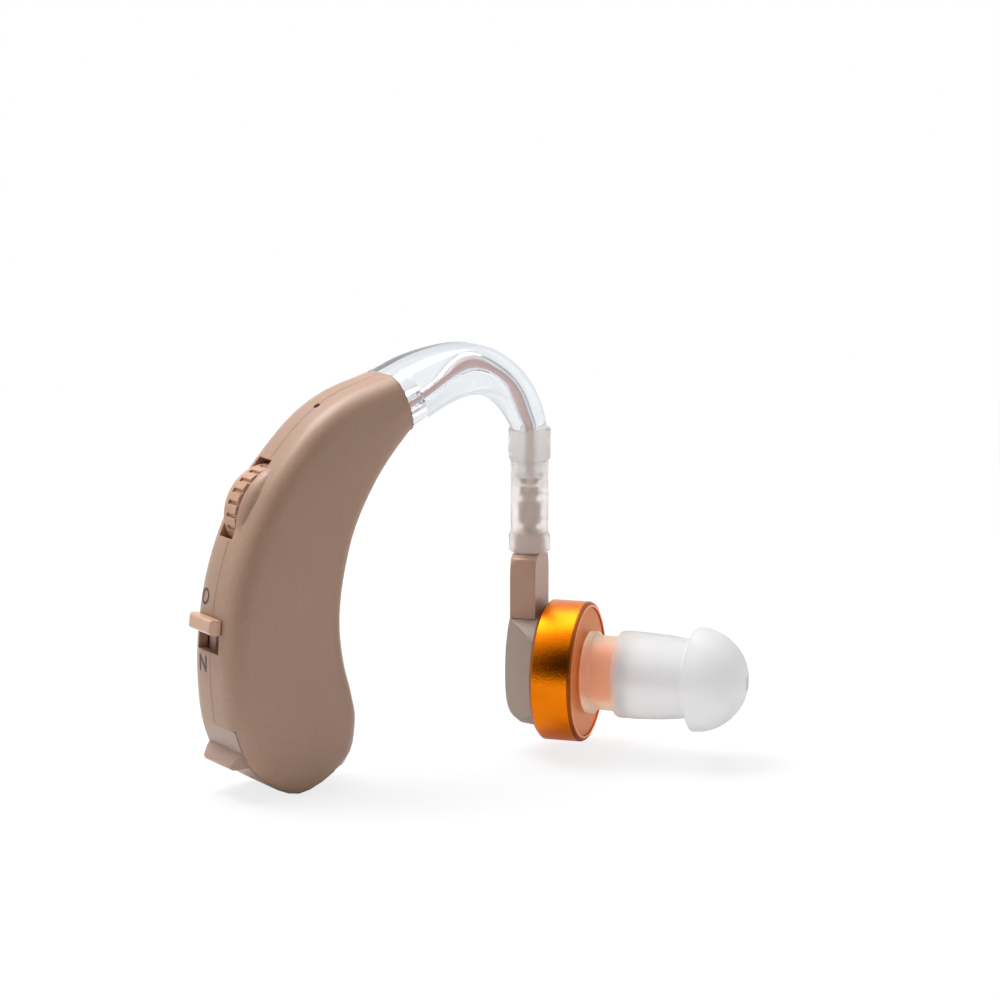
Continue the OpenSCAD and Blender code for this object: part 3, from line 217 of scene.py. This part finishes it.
def finish(name, colour, other=None, roughness=0.4, grain_scale=9000.0, grain_depth=0.01, change=0.08,
           drift_scale=120.0, specks=0.0, edge=0.0, rim_shade=None, glow=0.0, **sockets):
    """A material: tone drift feeds the colour, grain feeds roughness and bump, sockets are constants.

    The edge is the radius in mm by which sharp edges look rounded. The rim shade is a darker colour for
    surfaces seen from the side, and is painted shade. The glow is painted light: an emission that stands in
    for the light that a pale, see-through body passes on from the white room around it, and for the light
    that reaches a piece inside a clear body.
    """
    material = bpy.data.materials.new(name)
    material.use_nodes = True
    tree = material.node_tree
    shader = tree.nodes["Principled BSDF"]
    for key, value in sockets.items():
        shader.inputs[key.replace("_", " ")].default_value = value
    tones = add_node(tree, "Group", node_tree=tone)
    tones.inputs["Colour"].default_value = light_value(colour)
    tones.inputs["Other Colour"].default_value = light_value(other or [c * 0.96 for c in colour])
    tones.inputs["Scale"].default_value = drift_scale
    tones.inputs["Specks"].default_value = specks
    shade = tones.outputs["Colour"]
    # Painted shade: a darker colour mixed in where the surface is seen from the side
    if rim_shade:
        sideways = add_node(tree, "LayerWeight", {"Blend": 0.35})
        steep = add_node(tree, "MapRange", {"From Min": 0.3, "From Max": 1.0},
                         interpolation_type="SMOOTHSTEP")
        tree.links.new(sideways.outputs["Facing"], steep.inputs["Value"])
        rim_shaded = add_node(tree, "Mix", {MIX_B: light_value(rim_shade)}, data_type="RGBA")
        tree.links.new(steep.outputs[0], rim_shaded.inputs["Factor"])
        tree.links.new(shade, rim_shaded.inputs[MIX_A])
        shade = rim_shaded.outputs[MIX_RESULT]
    tree.links.new(shade, shader.inputs["Base Color"])
    # Painted light: the glow is an emission in the finish's own colour
    shader.inputs["Emission Color"].default_value = light_value(colour)
    shader.inputs["Emission Strength"].default_value = glow
    grains = add_node(tree, "Group", node_tree=grain)
    grains.inputs["Scale"].default_value = grain_scale
    grains.inputs["Roughness"].default_value = roughness
    grains.inputs["Roughness Change"].default_value = change
    tree.links.new(grains.outputs["Roughness"], shader.inputs["Roughness"])
    bump = add_node(tree, "Bump", {"Strength": 1.0, "Distance": grain_depth * MM})
    tree.links.new(grains.outputs["Height"], bump.inputs["Height"])
    if edge:
        rounded = add_node(tree, "Bevel", {"Radius": edge * MM}, samples=4)
        tree.links.new(rounded.outputs["Normal"], bump.inputs["Normal"])
    tree.links.new(bump.outputs["Normal"], shader.inputs["Normal"])
    return material


print("example: middle grey is", round(light_value((128, 128, 128))[0], 3), "in linear light")

# %% [markdown]
# ### Skin-coloured plastics
# The shells, the door, the wheel and the slider are moulded in a beige that light enters a little, red
# furthest. A plain colour could pass from afar, but the soft warm edges come from that scattering, so these
# finishes use a small subsurface share. The door is a shade greyer, and the wheel and slider are warmer.

# %% Plastics
SKIN_SCATTER = (1.0, 0.35, 0.15)
skin = finish("skin_plastic", (176, 142, 121), (169, 135, 113), roughness=0.4, edge=0.12, specks=0.13,
              grain_depth=0.016, Subsurface_Weight=0.35, Subsurface_Radius=SKIN_SCATTER,
              Subsurface_Scale=0.0012)
door_plastic = finish("door_plastic", (176, 147, 131), (170, 141, 125), roughness=0.38, edge=0.24,
                      specks=0.13, grain_depth=0.016, Subsurface_Weight=0.3,
                      Subsurface_Radius=SKIN_SCATTER, Subsurface_Scale=0.0012)
wheel_plastic = finish("wheel_plastic", (194, 153, 128), roughness=0.38, edge=0.12, grain_depth=0.004,
                       Subsurface_Weight=0.3, Subsurface_Radius=SKIN_SCATTER, Subsurface_Scale=0.0008)
# The switch case's pale colour is partly painted light: it is set lighter so that the case still shows deep
# in the slot's shade
switch_plastic = finish("switch_case_plastic", (222, 190, 184), roughness=0.35)
slider = finish("slider_plastic", (206, 162, 134), roughness=0.28, edge=0.2, Coat_Weight=0.2)
neck_plastic = finish("neck_plastic", (190, 150, 128), roughness=0.36, edge=0.15, grain_depth=0.004)
taupe = finish("taupe_plastic", (158, 138, 123), (151, 131, 115), roughness=0.42, edge=0.15, specks=0.08)
print("plastics:", len(bpy.data.materials))

# %% [markdown]
# ### Clear hook, sleeve and silicone tip
# The hook is solid clear plastic that bends what lies behind it. In front of white, such a body shows
# mostly by its darker, cooler rim, and here that rim is partly painted shade: a darker colour on faces seen
# from the side. The sleeve and the tip are silicone: milky, because light scatters in them. They are part
# glass and part scattering body, and they carry a painted glow that stands in for the room's light passing
# through them. The tip is thin at its flange and nearly clear there, thicker at its barrel, and palest at
# its dome, so it has three finishes.

# %% Clear and milky bodies
EVEN_SCATTER = (1.0, 1.0, 1.0)
# The rim colour is painted shade: a darker, cooler colour on faces seen from the side
clear = finish("clear_plastic", (239, 243, 247), roughness=0.02, change=0.02, grain_depth=0.0003,
               rim_shade=(96, 112, 130), Transmission_Weight=1.0, IOR=1.5)
# The lead's pale colour and its glow are painted light: they stand in for the lamp light that reaches the
# lead through the clear hook
lead = finish("lead_rubber", (246, 208, 200), roughness=0.4, glow=0.26)
# The glows of the sleeve and the tip are painted light: emission that stands in for the room's light passing
# through the milky silicone; the dome's stronger glow makes it the palest part
sleeve = finish("sleeve_silicone", (255, 250, 247), roughness=0.24, change=0.1, glow=0.04,
                Transmission_Weight=0.82, IOR=1.25, Subsurface_Weight=0.5,
                Subsurface_Radius=EVEN_SCATTER, Subsurface_Scale=0.002)
MILK = dict(roughness=0.42, Transmission_Weight=0.6, IOR=1.25, Subsurface_Weight=0.8,
            Subsurface_Radius=EVEN_SCATTER, Subsurface_Scale=0.004)
silicone = finish("milky_silicone", (250, 250, 252), glow=0.006, **MILK)
dome_silicone = finish("dome_silicone", (253, 253, 253), glow=0.043, **MILK)
# The flange's warm tint and its glow are painted light: they stand in for the orange nozzle's light seen
# through the thin silicone
thin_silicone = finish("thin_silicone", (255, 236, 212), roughness=0.3, glow=0.06,
                       Transmission_Weight=0.82, IOR=1.22, Subsurface_Weight=0.6,
                       Subsurface_Radius=EVEN_SCATTER, Subsurface_Scale=0.003)
print("with the clear ones:", len(bpy.data.materials))

# %% [markdown]
# ### Receiver ring and plate
# The ring is turned aluminium, blasted fine and anodised orange: a metal whose colour tints every
# reflection. Its two turned edges are darker by painted shade: a darker metal colour on their faces. The
# plate and the nozzle are coloured, less shiny pieces.

# %% Ring, plate and nozzle
anodised = finish("anodised_aluminium", (238, 128, 12), (232, 120, 8), roughness=0.26, Metallic=1.0,
                  edge=0.04, grain_scale=5200.0, grain_depth=0.028)
# Painted shade: a darker metal colour for the slanted edge faces of the ring
ring_edge_shade = finish("ring_edge_painted_shade", (150, 78, 26), (140, 72, 22), roughness=0.4, Metallic=1.0)
face_plate = finish("copper_plate", (232, 142, 84), roughness=0.5, edge=0.08, Metallic=0.3,
                    Specular_IOR_Level=0.25)
# The nozzle's glow is painted light: it brightens the nozzle under the thin flange
nozzle = finish("nozzle_plastic", (255, 134, 6), roughness=0.3, glow=0.08)
print("with the receiver's:", len(bpy.data.materials))

# %% [markdown]
# ### Parts inside
# The window, the slot and the open door show a little of what is inside, so those pieces have real finishes
# too: bright steel, gilt contacts, enamelled wire, green solder mask, ceramic blocks and black rubber.

# %% Finishes of the parts inside
steel = finish("bright_steel", (205, 207, 210), roughness=0.22, Metallic=1.0, edge=0.06)
gold = finish("gold_contact", (226, 186, 104), roughness=0.25, Metallic=1.0)
copper = finish("enamelled_winding", (190, 110, 64), roughness=0.3, Metallic=0.8)
film = finish("formed_film", (52, 52, 58), roughness=0.2)
board = finish("solder_mask", (34, 96, 60), (28, 84, 52), roughness=0.3, specks=0.1)
ceramic = finish("ceramic_blocks", (170, 138, 100), roughness=0.45)
black = finish("black_compound", (30, 30, 33), roughness=0.5, specks=0.2)
boot = finish("black_rubber", (36, 36, 39), roughness=0.6)
print("finishes:", len(bpy.data.materials))

# %% [markdown]
# ### Who wears what
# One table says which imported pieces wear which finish. The table could be a chain of single lines, but in
# this form a missing piece is easy to find, and the cell prints it.

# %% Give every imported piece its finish
FINISH_OF = {
    skin: ["right_shell", "left_shell"],
    door_plastic: ["battery_door"],
    wheel_plastic: ["volume_wheel"],
    slider: ["switch_knob"],
    switch_plastic: ["switch_body"],
    neck_plastic: ["receiver_neck"],
    taupe: ["receiver_cup"],
    clear: ["ear_hook"],
    lead: ["receiver_lead"],
    sleeve: ["tube_sleeve"],
    silicone: ["ear_tip"],
    anodised: ["receiver_ring"],
    face_plate: ["receiver_face"],
    nozzle: ["receiver_nozzle"],
    steel: ["hinge_pin", "cell_can", "cell_cap", "driver_yoke", "driver_magnet", "sound_mesh",
            "volume_axle"],
    gold: ["volume_wiper", "switch_bridge", "positive_contact", "negative_contact"],
    copper: ["voice_coil"],
    film: ["diaphragm"],
    board: ["circuit_board"],
    ceramic: ["capacitors"],
    black: ["amplifier_chip", "volume_base", "microphone"],
    boot: ["microphone_boot", "cell_gasket"],
}
for material, names in FINISH_OF.items():
    for name in names:
        nodes[name].data.materials.clear()
        nodes[name].data.materials.append(material)
print("without a finish:", sorted(set(nodes) - {n for names in FINISH_OF.values() for n in names}))


# %% Second finishes on some faces
def refinish(piece, material, chosen):
    """Gives the chosen faces of a piece one more finish."""
    piece.data.materials.append(material)
    slots = np.empty(len(piece.data.polygons), np.int32)
    piece.data.polygons.foreach_get("material_index", slots)
    slots[chosen] = len(piece.data.materials) - 1
    piece.data.polygons.foreach_set("material_index", slots)


def face_values(piece, kind):
    """The centre or the normal of every face, one row each."""
    values = np.empty(len(piece.data.polygons) * 3)
    piece.data.polygons.foreach_get(kind, values)
    return values.reshape(-1, 3)


# Faces of the tip are chosen by their distance from the plate along the sound axis, and the ring's
# edges, which get the painted shade, by their slant, which is the size of the cosine between a face's
# normal and that axis
SOUND_AXIS = np.array([0.658689, -0.752415, 0.0])
SLEEVE_X, RING_Z, PLATE_REACH = 6.45, -31.0, 6.7
PLATE_CENTRE = (np.array([SLEEVE_X, 0.0, RING_Z]) + PLATE_REACH * SOUND_AXIS) * MM
FLANGE_END, DOME_START = 3.6 * MM, 11.2 * MM
SIDE_SLANT, FRONT_SLANT = 0.2, 0.97
tip, ring = nodes["ear_tip"], nodes["receiver_ring"]
along_axis = (face_values(tip, "center") - PLATE_CENTRE) @ SOUND_AXIS
refinish(tip, thin_silicone, along_axis < FLANGE_END)
refinish(tip, dome_silicone, along_axis > DOME_START)
slant = np.abs(face_values(ring, "normal") @ SOUND_AXIS)
on_edge = (slant > SIDE_SLANT) & (slant < FRONT_SLANT)
refinish(ring, ring_edge_shade, on_edge)
print("slanted faces of the ring:", int(on_edge.sum()))

# %% [markdown]
# ## The housing's outline
# The marks beside the switch, and the fine seam between the two shells, lie on the housing's back. Its
# outline is a smooth curve through chosen places. The marks could be projected on the mesh, but the same
# curve gives every place and its outward direction exactly, from one number: the station along it.

# %% Outline of the back
SEAT = np.array([-11.05, 0.2])
SEAT_LEAN = math.radians(19.5)
SEAT_UP = np.array([-math.sin(SEAT_LEAN), math.cos(SEAT_LEAN)])
SEAT_HALF = 3.2
REACH, DROP = 21.75, 40.5
BACK_SHARES = np.array([
    (0.292, -0.036), (0.467, 0.017), (0.623, 0.096), (0.761, 0.186), (0.874, 0.298), (0.954, 0.425),
    (0.995, 0.561), (1.000, 0.696), (0.963, 0.834), (0.848, 0.941), (0.609, 1.0),
])
back_line = np.vstack([SEAT + SEAT_UP * SEAT_HALF, SEAT - BACK_SHARES * (REACH, DROP)])
back_line = np.vstack([2 * back_line[0] - back_line[1], back_line])


def on_outline(station):
    """Point and outward normal on the back: a cubic through four neighbours, and its slope turned."""
    i = np.clip(np.floor(station).astype(int), 0, len(back_line) - 4)
    t = (station - i)[..., None]
    a, b, c, d = (back_line[i + k] for k in range(4))
    point = (2 * b + (c - a) * t + (2 * a - 5 * b + 4 * c - d) * t**2 + (3 * b - a - 3 * c + d) * t**3) / 2
    slope = ((c - a) + 2 * (2 * a - 5 * b + 4 * c - d) * t + 3 * (3 * b - a - 3 * c + d) * t**2) / 2
    slope /= np.linalg.norm(slope, axis=-1, keepdims=True)
    return point, np.stack([slope[..., 1], -slope[..., 0]], axis=-1)


EDGE_ROUND, FLAT_HALF = 2.4, 2.19


def back_points(station, y, proud):
    """A place on the back in metres: station along it, y across it, and the height above it, in mm.

    Past the flat middle the back falls away as a circle does: radius less root of radius squared less
    distance squared.
    """
    past = np.clip(np.abs(y) - FLAT_HALF, 0, EDGE_ROUND)
    fall = EDGE_ROUND - np.sqrt(EDGE_ROUND**2 - past**2)
    point, normal = on_outline(station)
    flat = point + normal * (proud - fall)[..., None]
    return np.stack([flat[..., 0], y, flat[..., 1]], axis=-1) * MM


MIC_STATION, WHEEL_STATION, SWITCH_STATION, DOOR_STATION = 1.63, 4.27, 7.02, 8.735
print("the switch lies at", on_outline(np.array([SWITCH_STATION]))[0][0].round(2))

# %% [markdown]
# ## Marks beside the switch
# The O and the N are printed in dark grey. They could be a text object, flat and apart from the curved
# back. Instead each stroke is a thin ribbon: its middle line is given across and down the back, and the
# ribbon is laid on the curved surface, a hair above it.

# %% Surface helper
def surface_piece(name, grid, material, closed=False):
    """Makes a mesh from a grid of points, rows by columns, with quads between neighbours. A closed one
    joins its last row to its first."""
    rows, columns = grid.shape[:2]
    row, column = np.meshgrid(np.arange(rows if closed else rows - 1), np.arange(columns - 1), indexing="ij")
    next_row = (row + 1) % rows
    corners = [(row, column), (row, column + 1), (next_row, column + 1), (next_row, column)]
    quads = np.stack([r * columns + c for r, c in corners], -1).reshape(-1, 4)
    mesh = bpy.data.meshes.new(name)
    mesh.from_pydata(grid.reshape(-1, 3), [], quads)
    mesh.polygons.foreach_set("use_smooth", np.ones(len(quads), bool))
    mesh.materials.append(material)
    piece = bpy.data.objects.new(name, mesh)
    bpy.context.scene.collection.objects.link(piece)
    return piece


# %% Distance along the back
LAST_STATION, FINE_COUNT = 10, 2001
fine_stations = np.linspace(0, LAST_STATION, FINE_COUNT)
fine_points, _ = on_outline(fine_stations)
fine_length = np.concatenate([[0], np.cumsum(np.linalg.norm(np.diff(fine_points, axis=0), axis=1))])


def station_at(length):
    """The station that lies a length in mm down the back, read from the summed short steps."""
    return np.interp(length, fine_length, fine_stations)


def length_at(station):
    """The length in mm down the back to a station."""
    return np.interp(station, fine_stations, fine_length)


print("the back is", fine_length[-1].round(1), "mm long")


# %% Ribbons on the back
def ribbon(path, width, proud, closed=False):
    """A flat ribbon along a path of (across, down the back) in mm: every point of the path goes half the
    width to both sides, at right angles to the path, and is laid on the curved back."""
    step = np.roll(path, -1, 0) - np.roll(path, 1, 0) if closed else np.gradient(path, axis=0)
    step /= np.linalg.norm(step, axis=1, keepdims=True)
    side = np.stack([-step[:, 1], step[:, 0]], 1) * width / 2
    edges = np.stack([path + side, path - side], 1)
    return back_points(station_at(edges[..., 1]), edges[..., 0], np.full(edges.shape[:2], proud))


def joined(name, grids, material):
    """One piece from several grids."""
    parts = [surface_piece(name, grid, material) for grid in grids]
    with bpy.context.temp_override(active_object=parts[0], selected_editable_objects=parts,
                                   selected_objects=parts):
        bpy.ops.object.join()
    return parts[0]


print("the wheel's window lies", length_at(WHEEL_STATION).round(1), "mm down the back")

# %% The O and the N
ink = finish("dark_ink", (66, 60, 60), roughness=0.5)
MARK_WIDTH, MARK_HEIGHT, STROKE, MARK_Y = 1.5, 1.75, 0.26, 1.55
MARK_PROUD, OVERLAP_STEP = 0.02, 0.002
SWITCH_LENGTH = length_at(SWITCH_STATION)
O_ABOVE, O_SHIFT, N_BELOW = 3.8, 0.45, 3.2
o_down, n_down = SWITCH_LENGTH - O_ABOVE, SWITCH_LENGTH + N_BELOW
turn = np.linspace(0, 2 * np.pi, 48, endpoint=False)
half_wide, half_tall = (MARK_WIDTH - STROKE) / 2, (MARK_HEIGHT - STROKE) / 2
o_path = np.stack([MARK_Y + O_SHIFT + np.cos(turn) * half_wide, o_down + np.sin(turn) * half_tall], 1)
mark_o = surface_piece("mark_o", ribbon(o_path, STROKE, MARK_PROUD, True), ink, closed=True)


def straight(start, end, count=12):
    """Evenly spaced places from start to end."""
    return np.linspace(start, end, count)


full = MARK_HEIGHT / 2
n_paths = [
    straight((MARK_Y + half_wide, n_down - full), (MARK_Y + half_wide, n_down + full)),
    straight((MARK_Y + half_wide, n_down - half_tall), (MARK_Y - half_wide, n_down + half_tall)),
    straight((MARK_Y - half_wide, n_down - full), (MARK_Y - half_wide, n_down + full)),
]
n_grids = [ribbon(p, STROKE, MARK_PROUD + OVERLAP_STEP * k) for k, p in enumerate(n_paths)]
mark_n = joined("mark_n", n_grids, ink)
print("marks:", mark_o.name, mark_n.name)

# %% [markdown]
# ## Seam between the two shells
# The shells meet on the middle of the back in a line as fine as a hair. It stops at the microphone hole,
# the wheel's window, the switch's slot and the door, so it is four ribbons between those openings. A groove
# cut in the mesh would be finer than the picture can show, and a ribbon of a darker tone reads the same.

# %% Seam
seam_tone = finish("seam_shade", (140, 100, 82), roughness=0.7)
SEAM_WIDTH, SEAM_PROUD, SEAM_START, SEAM_STEPS = 0.09, 0.006, 0.35, 40
half_openings = [(MIC_STATION, 0.46), (WHEEL_STATION, 4.72), (SWITCH_STATION, 1.92)]
stops = [SEAM_START]
for station, half in half_openings:
    stops += [length_at(station) - half, length_at(station) + half]
stops.append(length_at(DOOR_STATION))
seams = [
    ribbon(straight((0, start), (0, end), SEAM_STEPS), SEAM_WIDTH, SEAM_PROUD)
    for start, end in zip(stops[::2], stops[1::2])
]
seam = joined("shell_seam", seams, seam_tone)
print("seam pieces:", len(seams))

# %% [markdown]
# ## Floor, backdrop and light
# The product stands in front of white. More light would make a grey floor white, but it would bleach the
# piece too. So the floor and the world look white only to the camera and through clear bodies, and a mild
# world and three soft lamps light the piece. Close to the piece, the floor keeps its shadow.

# %% Floor
FLOOR_GAP = 0.1 * MM
floor_mesh = bpy.data.meshes.new("floor")
FLOOR = solids_box[0][2] - FLOOR_GAP
TABLE = 0.27
floor_mesh.from_pydata([
    (-TABLE, -TABLE / 2, FLOOR), (TABLE, -TABLE / 2, FLOOR), (TABLE, TABLE, FLOOR), (-TABLE, TABLE, FLOOR),
], [], [(0, 1, 2, 3)])
floor = bpy.data.objects.new("floor", floor_mesh)
bpy.context.scene.collection.objects.link(floor)
pale = bpy.data.materials.new("pale_floor")
pale.use_nodes = True
tree = pale.node_tree
tree.nodes.clear()
out = add_node(tree, "OutputMaterial")
matt = add_node(tree, "BsdfDiffuse", {"Color": (0.9, 0.9, 0.9, 1)})
glow = add_node(tree, "Emission", {"Color": (1, 1, 1, 1), "Strength": 1.0})
paths = add_node(tree, "LightPath")
seen = add_node(tree, "Math", operation="MAXIMUM")
tree.links.new(paths.outputs["Is Camera Ray"], seen.inputs[0])
tree.links.new(paths.outputs["Is Transmission Ray"], seen.inputs[1])
far = add_node(tree, "VectorMath", operation="LENGTH")
tree.links.new(object_place(tree), far.inputs[0])
fade = add_node(tree, "MapRange", {"From Min": 0.08, "From Max": 0.26, "To Min": 0.8, "To Max": 1.0})
tree.links.new(far.outputs["Value"], fade.inputs["Value"])
seen_share = add_node(tree, "Math", operation="MULTIPLY")
tree.links.new(seen.outputs[0], seen_share.inputs[0])
tree.links.new(fade.outputs[0], seen_share.inputs[1])
mirror_fade = add_node(tree, "MapRange", {"From Min": 0.05, "From Max": 0.12, "To Min": 0.2, "To Max": 0.9})
tree.links.new(far.outputs["Value"], mirror_fade.inputs["Value"])
mirror_share = add_node(tree, "Math", operation="MULTIPLY")
tree.links.new(paths.outputs["Is Glossy Ray"], mirror_share.inputs[0])
tree.links.new(mirror_fade.outputs[0], mirror_share.inputs[1])
share = add_node(tree, "Math", operation="MAXIMUM")
tree.links.new(seen_share.outputs[0], share.inputs[0])
tree.links.new(mirror_share.outputs[0], share.inputs[1])
both = add_node(tree, "MixShader")
tree.links.new(share.outputs[0], both.inputs[0])
tree.links.new(matt.outputs[0], both.inputs[1])
tree.links.new(glow.outputs[0], both.inputs[2])
tree.links.new(both.outputs[0], out.inputs["Surface"])
floor_mesh.materials.append(pale)
print("floor at", round(FLOOR / MM, 2), "mm")

# %% [markdown]
# ### World
# Metal and clear plastic live from what they mirror. A room that is white all round would leave the ring
# flat, so reflections find a dim part of the room on the camera's side, as a real studio has. That gives
# the ring its dark band and the hook its cool lines.

# %% World
world = bpy.data.worlds.new("studio")
bpy.context.scene.world = world
world.use_nodes = True
tree = world.node_tree
tree.nodes.clear()
out = add_node(tree, "OutputWorld")
lit = add_node(tree, "Background", {"Color": (0.96, 0.97, 1.0, 1), "Strength": 0.28})
white = add_node(tree, "Background", {"Color": (1, 1, 1, 1), "Strength": 1.0})
paths = add_node(tree, "LightPath")
seen = add_node(tree, "Math", operation="MAXIMUM")
tree.links.new(paths.outputs["Is Camera Ray"], seen.inputs[0])
tree.links.new(paths.outputs["Is Transmission Ray"], seen.inputs[1])
both = add_node(tree, "MixShader")
tree.links.new(seen.outputs[0], both.inputs[0])
tree.links.new(white.outputs[0], both.inputs[2])
tree.links.new(both.outputs[0], out.inputs["Surface"])

# Reflections find the dim room behind the camera: dark where a ray goes towards the camera's side. Rays
# through clear bodies find it too, less dark, so that steep rims get their cool tone.
room = add_node(tree, "Background", {"Color": (1, 1, 1, 1)})
heading = add_node(tree, "VectorMath", {1: tuple(towards_camera)}, operation="DOT_PRODUCT")
tree.links.new(add_node(tree, "TexCoord").outputs["Generated"], heading.inputs[0])
dim = add_node(tree, "MapRange", {"From Min": 0.58, "From Max": 0.88, "To Min": 0.95, "To Max": 0.02},
               interpolation_type="SMOOTHSTEP")
tree.links.new(heading.outputs["Value"], dim.inputs["Value"])
tree.links.new(dim.outputs[0], room.inputs["Strength"])
through = add_node(tree, "MapRange", {"From Min": -0.85, "From Max": 0.2, "To Min": 1.0, "To Max": 0.2},
                   interpolation_type="SMOOTHSTEP")
tree.links.new(heading.outputs["Value"], through.inputs["Value"])
plain = add_node(tree, "Math", operation="MAXIMUM")
tree.links.new(through.outputs[0], plain.inputs[0])
tree.links.new(paths.outputs["Is Camera Ray"], plain.inputs[1])
tree.links.new(plain.outputs[0], white.inputs["Strength"])
mirrored = add_node(tree, "MixShader")
tree.links.new(paths.outputs["Is Glossy Ray"], mirrored.inputs[0])
tree.links.new(lit.outputs[0], mirrored.inputs[1])
tree.links.new(room.outputs[0], mirrored.inputs[2])
tree.links.new(mirrored.outputs[0], both.inputs[1])
print("world:", world.name)

# %% [markdown]
# ### Lamps
# Large square lamps close to the piece give soft edges to light and shadow. The key comes from above and
# behind, so the housing's back is bright and its side is calm.

# %% Lamps
AIM = Vector((0, 0, -18)) * MM


def soft_lamp(name, place, size, power):
    """A square area lamp at a place in mm, turned towards the middle of the piece."""
    lamp = bpy.data.objects.new(name, bpy.data.lights.new(name, "AREA"))
    bpy.context.scene.collection.objects.link(lamp)
    lamp.data.shape = "SQUARE"
    lamp.data.size = size * MM
    lamp.data.energy = power
    lamp.location = Vector(place) * MM
    lamp.rotation_mode = "QUATERNION"
    lamp.rotation_quaternion = (AIM - lamp.location).to_track_quat("-Z", "Y")


soft_lamp("key", (-130, 160, 380), 240, 1.75)
soft_lamp("top", (60, 80, 380), 300, 1.0)
soft_lamp("fill", (160, -330, 120), 260, 0.1)

# %% [markdown]
# ## What the new pieces belong to
# The marks and the seam are on the housing, so they move with its body.

# %% Ride on the imported bodies
for piece, slot in ((mark_o, "black"), (mark_n, "black"), (seam, "skin")):
    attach(piece, "housing")
print("new pieces on the housing: 3")

# %% View settings
bpy.context.scene.view_settings.view_transform = "Standard"
